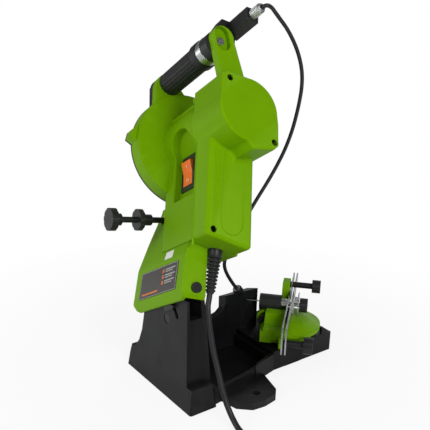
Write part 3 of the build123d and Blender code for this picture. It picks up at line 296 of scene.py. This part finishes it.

# ---- Bracket, pins and screws -------------------------------------------------------------------
# Turned and plated steel, blackened steel, a brass insert, and the die-cast bracket that the head
# tilts on, which is given the black steel finish.
steel = finish_of("bright_steel", (0.56, 0.57, 0.58), 0.26, grain=500, relief=0.00002,
                  metallic=1.0, edge=0.0003, stretch=(0.25, 1, 1), vary=0.08)
dress(plated, "handle_screws", "jaw_screws", "vice_pivot", "chain_pawl", "clamp_collar",
      "cable_ferrule", "flange_inner", "flange_outer", "cable_adjuster")
# Its edges carry a painted highlight.
black_steel = finish_of("black_steel", (0.016, 0.016, 0.017), 0.34, grain=1800, relief=0.00002,
                        metallic=0.4, edge=0.0004, edge_highlight=0.3)
dress(black_steel, "tilt_pin", "shell_screws", "index_screw", "clamp_cylinder", "tilt_bracket")
dress(steel, "plate_fixed", "plate_moving", "clamp_rod", "jaw_bracket", "swing_shaft",
      "handle_core", "rotor", "motor_field", "bearing_front", "bearing_rear", "cable_wire",
      "wheel_nut", "handle_ring")
brass = finish_of("plain_brass", (0.60, 0.42, 0.16), 0.32, metallic=1.0)
dress(brass, "stop_insert")

# ---- Head shells --------------------------------------------------------------------------------
# Two halves of glossy green plastic, screwed together; the motor, the switch and the swing shaft
# sit between them, and the guard grows out of the far half.
# Its edges carry a painted highlight.
green = finish_of("green_shell", (0.150, 0.335, 0.001), 0.42, grain=1600, relief=0.00003,
                  vary=0.05, edge=0.0018, edge_highlight=0.22, shine=0.14, glint=(0.5, 0.8, 0.0))
dress(green, "shell_left", "shell_right", "vice_table")

# ---- Strain relief ------------------------------------------------------------------------------
# A rubber sleeve that grips the mains lead under the head: a collar and nine separate ribs on a
# thin core, a little smaller toward the tip.
head_frame = Matrix(((0.86603, 0.18163, 0.46585, 0.003), (0, 0.93169, -0.36325, 0.069),
                     (-0.5, 0.31458, 0.80687, 0.124517), (0, 0, 0, 1)))


def new_piece(name, shape, placed, body, slot, *materials, smooth=True):
    """A piece from a shape in millimetres, put in its place and given to a CAD body."""
    shape.transform(placed @ Matrix.Scale(0.001, 4))
    bmesh.ops.recalc_face_normals(shape, faces=shape.faces)
    mesh = bpy.data.meshes.new(name)
    shape.to_mesh(mesh)
    shape.free()
    for material in materials:
        mesh.materials.append(material)
    for polygon in mesh.polygons:
        polygon.use_smooth = smooth
    piece = bpy.data.objects.new(name, mesh)
    bpy.context.scene.collection.objects.link(piece)
    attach(piece, body)
    return piece


def lathe(profile, sides=40):
    """A closed ring-shaped solid: the outline, given as (height, radius), spun about Z."""
    shape = bmesh.new()
    spots = [shape.verts.new((radius, 0, height)) for height, radius in profile]
    rim = [shape.edges.new(pair) for pair in zip(spots, spots[1:] + spots[:1])]
    bmesh.ops.spin(shape, geom=spots + rim, cent=(0, 0, 0), axis=(0, 0, 1), angle=2 * math.pi,
                   steps=sides, use_merge=True)
    return shape


relief_from, relief_to = Vector((-69, -24, 58)), Vector((-65, -20, -4))
relief_long = (relief_to - relief_from).length
relief_profile = [(0, 3.7), (0, 7.6), (0.8, 8.4), (18.2, 8.4), (19.0, 7.6), (19.2, 5.2)]
for rib in range(9):
    low = 21.4 + 4.5 * rib
    high_r = 8.2 - 0.24 * rib
    relief_profile += [(low, 5.1 - 0.05 * rib), (low + 0.2, high_r - 0.5), (low + 0.7, high_r),
                       (low + 2.1, high_r), (low + 2.6, high_r - 0.5), (low + 2.8, 5.1 - 0.05 * rib)]
relief_profile += [(relief_long - 0.2, 4.7), (relief_long, 4.3), (relief_long, 3.7)]
relief_turn = (relief_to - relief_from).to_track_quat("Z", "Y").to_matrix().to_4x4()
sleeve = new_piece("relief_sleeve", lathe(relief_profile),
                   head_frame @ Matrix.Translation(relief_from * 0.001) @ relief_turn,
                   "arm", "black_plastic", lead_black)
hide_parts("strain_relief")

# ---- Moulded lines ------------------------------------------------------------------------------
# Raised lines of the green shells, in the head's millimetres (u along the motor shaft, v to the
# back, w up): a thin lip at the far side of the switch recess, the lip of the seam at its near
# side, and a long loop on the box's outer face.
drum_v, drum_w, drum_r = -15.5, 206.0, 41.0


lip_steps = 32
lip_root = 2.5
lip_inset = 0.35
back_v = 14.5


def lip(low_u, high_u, base_v, rise, low_w, high_w):
    """A thin upright rib on the back of the head that climbs over the motor's drum."""
    outer = []
    for step in range(lip_steps + 1):
        w = low_w + (high_w - low_w) * step / lip_steps
        reach = drum_r ** 2 - (w - drum_w) ** 2
        v = max(base_v, drum_v + math.sqrt(reach)) if reach > 0 else base_v
        end = min(1, step / 3, (lip_steps - step) / 3)
        outer.append((v + rise * end, v - lip_root, w))
    shape = bmesh.new()
    rows = []
    for top, bottom, w in outer:
        rows.append([shape.verts.new(spot) for spot in (
            (low_u, bottom, w), (low_u, top - lip_inset, w), (low_u + lip_inset, top, w),
            (high_u - lip_inset, top, w), (high_u, top - lip_inset, w), (high_u, bottom, w))])
    for first, second in zip(rows, rows[1:]):
        for k in range(6):
            shape.faces.new((first[k], first[(k + 1) % 6], second[(k + 1) % 6], second[k]))
    shape.faces.new(rows[0])
    shape.faces.new(rows[-1])
    return shape


new_piece("recess_lip_near", lip(-77.6, -75.6, back_v, 0.9, 48.0, 234.0), head_frame, "arm",
          "green_plastic", green, smooth=False)
new_piece("recess_lip_far", lip(-22.4, -20.6, back_v, 1.7, 112.0, 192.0), head_frame, "arm",
          "green_plastic", green, smooth=False)


def bead(route, thick, sides=8):
    """A round bar along a route in the head's millimetres."""
    line = bpy.data.curves.new("bead", "CURVE")
    line.dimensions = "3D"
    spline = line.splines.new("POLY")
    spline.points.add(len(route) - 1)
    for point, place in zip(spline.points, route):
        point.co = (*place, 1)
    line.bevel_depth = thick
    line.bevel_resolution = sides // 2
    line.use_fill_caps = True
    holder = bpy.data.objects.new("bead", line)
    mesh = bpy.data.meshes.new_from_object(holder)
    bpy.data.objects.remove(holder)
    shape = bmesh.new()
    shape.from_mesh(mesh)
    bpy.data.meshes.remove(mesh)
    return shape


loop_u, loop_v, loop_half, loop_low = -108.7, -19.8, 15.2, 74.0
loop_back_top, loop_front_top = 176.0, 158.0
loop_thick = 0.8
bend_steps = 14
loop_route = [(loop_u, loop_v + loop_half, loop_back_top)]
loop_route += [(loop_u, loop_v + loop_half * math.cos(math.pi * k / bend_steps),
                loop_low - loop_half * math.sin(math.pi * k / bend_steps))
               for k in range(bend_steps + 1)]
loop_route += [(loop_u, loop_v - loop_half, loop_front_top)]
new_piece("side_loop", bead(loop_route, loop_thick), head_frame, "arm", "green_plastic", green)

# ---- Grinding wheel -----------------------------------------------------------------------------
# A thin vitrified wheel of brown corundum grains.
grit = finish_of("corundum", (0.32, 0.13, 0.07), 0.85, grain=2600, relief=0.0004, vary=0.25)
dress(grit, "grinding_wheel")

# ---- Switch -------------------------------------------------------------------------------------
# An orange rocker in a black frame, at the bottom of its recess.
orange = finish_of("orange_rocker", (0.86, 0.16, 0.02), 0.30, grain=2000, relief=0.00002,
                   vary=0.04, edge=0.0006)
dress(orange, "switch_rocker")

# Its two ends carry the usual bar and ring.
mark_white = finish_of("mark_white", (0.75, 0.75, 0.73), 0.5, relief=0.00001)
rocker_lean = math.radians(-9)
rocker_turn = Matrix.Rotation(rocker_lean, 4, "X")
rocker_frame = head_frame @ Matrix.Translation((-0.0444, 0.0035, 0.1515)) @ rocker_turn
mark_v, mark_w = 5.75, 9.5
bar_shape = bmesh.new()
bmesh.ops.create_cube(bar_shape, size=1, matrix=Matrix.Translation((0, mark_v, mark_w))
                      @ Matrix.Diagonal((1.0, 0.3, 5.0, 1)))
new_piece("rocker_bar", bar_shape, rocker_frame, "rocker", "sticker", mark_white, smooth=False)
ring_shape = lathe([(-0.15, 1.7), (-0.15, 2.5), (0.15, 2.5), (0.15, 1.7)], sides=24)
bmesh.ops.transform(ring_shape, verts=ring_shape.verts,
                    matrix=Matrix.Translation((0, mark_v, -mark_w))
                    @ Matrix.Rotation(math.pi / 2, 4, "X"))
new_piece("rocker_ring", ring_shape, rocker_frame, "rocker", "sticker", mark_white)

# ---- Handle -------------------------------------------------------------------------------------
# A ribbed rubber twist grip on a steel core.
grip_black = finish_of("grip_rubber", (0.010, 0.010, 0.011), 0.50, grain=1200, relief=0.00006,
                       edge=0.0004, shine=0.4)
dress(grip_black, "handle_grip")

# ---- Labels -------------------------------------------------------------------------------------
# A dark plate with a plain printed frame and bars, and a small paper sticker; neither has words.
plate_dark = finish_of("plate_print", (0.055, 0.050, 0.046), 0.35, grain=2500, relief=0.00001)
dress(plate_dark, "nameplate")
paper = finish_of("paper_sticker", (0.80, 0.80, 0.78), 0.6, grain=2500, relief=0.00001)
dress(paper, "rating_sticker")

plate_lean = math.atan2(3.6, 45)
plate_frame = head_frame @ Matrix((
    (-1, 0, 0, -0.001), (0, -math.sin(plate_lean), math.cos(plate_lean), 0.01903),
    (0, math.cos(plate_lean), math.sin(plate_lean), 0.01606), (0, 0, 0, 1)))
print_grey = finish_of("print_grey", (0.42, 0.42, 0.41), 0.4, relief=0.00001)
print_orange = finish_of("print_orange", (0.62, 0.17, 0.03), 0.4, relief=0.00001)
plate_marks = [(0, 17.1, 97.4, 0.5, 0), (0, -17.1, 97.4, 0.5, 0), (-48.5, 0, 0.5, 34.0, 0),
               (48.5, 0, 0.5, 34.0, 0), (-20, -12.6, 44, 2.6, 1)]
for row in range(3):
    plate_marks += [(13, 10.5 - 7.4 * row, 4.4, 4.8, 1), (31, 11.8 - 7.4 * row, 25, 1.5, 0),
                    (28, 9.0 - 7.4 * row, 19, 1.2, 0)]
marks_shape = bmesh.new()
for x, y, wide, high, colour in plate_marks:
    made = bmesh.ops.create_cube(marks_shape, size=1, matrix=Matrix.Translation((x, y, 0))
                                 @ Matrix.Diagonal((wide, high, 0.24, 1)))
    for face in {face for vert in made["verts"] for face in vert.link_faces}:
        face.material_index = colour
new_piece("plate_print", marks_shape, plate_frame, "arm", "sticker", print_grey, print_orange,
          smooth=False)

# ---- Studio -------------------------------------------------------------------------------------
# A plain white floor and room with soft lamps; the floor keeps a faint shadow.
floor_mesh = bpy.data.meshes.new("floor")
floor_shape = bmesh.new()
bmesh.ops.create_grid(floor_shape, x_segments=1, y_segments=1, size=6)
floor_shape.to_mesh(floor_mesh)
floor_shape.free()
floor = bpy.data.objects.new("floor", floor_mesh)
bpy.context.scene.collection.objects.link(floor)
floor_white = bpy.data.materials.new("floor_white")
floor_white.use_nodes = True
floor_nodes, floor_links = floor_white.node_tree.nodes, floor_white.node_tree.links
floor_shader = floor_nodes["Principled BSDF"]
floor_shader.inputs["Base Color"].default_value = (0.86, 0.86, 0.86, 1)
floor_shader.inputs["Roughness"].default_value = 0.9
bright = floor_nodes.new("ShaderNodeEmission")
bright.inputs["Strength"].default_value = 1.0
seen = floor_nodes.new("ShaderNodeLightPath")
floor_place = floor_nodes.new("ShaderNodeTexCoord")
floor_far = floor_nodes.new("ShaderNodeVectorMath")
floor_far.operation = "LENGTH"
floor_fade = floor_nodes.new("ShaderNodeMapRange")
floor_fade.inputs["From Min"].default_value = 0.20
floor_fade.inputs["From Max"].default_value = 0.55
floor_fade.inputs["To Min"].default_value = 0.86
floor_fade.inputs["To Max"].default_value = 1.0
floor_links.new(floor_place.outputs["Object"], floor_far.inputs[0])
floor_links.new(floor_far.outputs["Value"], floor_fade.inputs["Value"])
seen_share = floor_nodes.new("ShaderNodeMath")
seen_share.operation = "MULTIPLY"
floor_links.new(floor_fade.outputs["Result"], seen_share.inputs[1])
floor_mix = floor_nodes.new("ShaderNodeMixShader")
floor_links.new(seen.outputs["Is Camera Ray"], seen_share.inputs[0])
floor_links.new(seen_share.outputs["Value"], floor_mix.inputs["Fac"])
floor_links.new(floor_shader.outputs["BSDF"], floor_mix.inputs[1])
floor_links.new(bright.outputs["Emission"], floor_mix.inputs[2])
floor_links.new(floor_mix.outputs["Shader"],
                floor_nodes["Material Output"].inputs["Surface"])
floor_mesh.materials.append(floor_white)

room = bpy.data.worlds.new("room")
bpy.context.scene.world = room
room.use_nodes = True
room_nodes, room_links = room.node_tree.nodes, room.node_tree.links
room_light = room_nodes["Background"]
room_light.inputs["Color"].default_value = (1, 1, 1, 1)
room_path = room_nodes.new("ShaderNodeLightPath")
room_level = room_nodes.new("ShaderNodeMapRange")
room_level.inputs["To Min"].default_value = 0.19
room_level.inputs["To Max"].default_value = 1.0
room_links.new(room_path.outputs["Is Camera Ray"], room_level.inputs["Value"])
room_links.new(room_level.outputs["Result"], room_light.inputs["Strength"])


def soft_lamp(name, place, aim, power, size):
    """A square studio lamp that faces a point."""
    lamp = bpy.data.lights.new(name, "AREA")
    lamp.energy = power
    lamp.size = size
    holder = bpy.data.objects.new(name, lamp)
    holder.location = place
    holder.rotation_euler = (Vector(place) - Vector(aim)).to_track_quat("Z", "Y").to_euler()
    bpy.context.scene.collection.objects.link(holder)


machine_middle = (0.0, 0.0, 0.25)
soft_lamp("key_lamp", (-1.5, 0.2, 1.0), machine_middle, 18.5, 0.8)
soft_lamp("top_lamp", (0.1, 1.5, 1.1), machine_middle, 11.5, 0.8)
soft_lamp("low_lamp", (1.1, 1.1, 0.3), machine_middle, 3.5, 0.8)
soft_lamp("front_lamp", (0.6, -1.6, 0.9), machine_middle, 7, 1.2)
bpy.context.scene.view_settings.view_transform = "Standard"
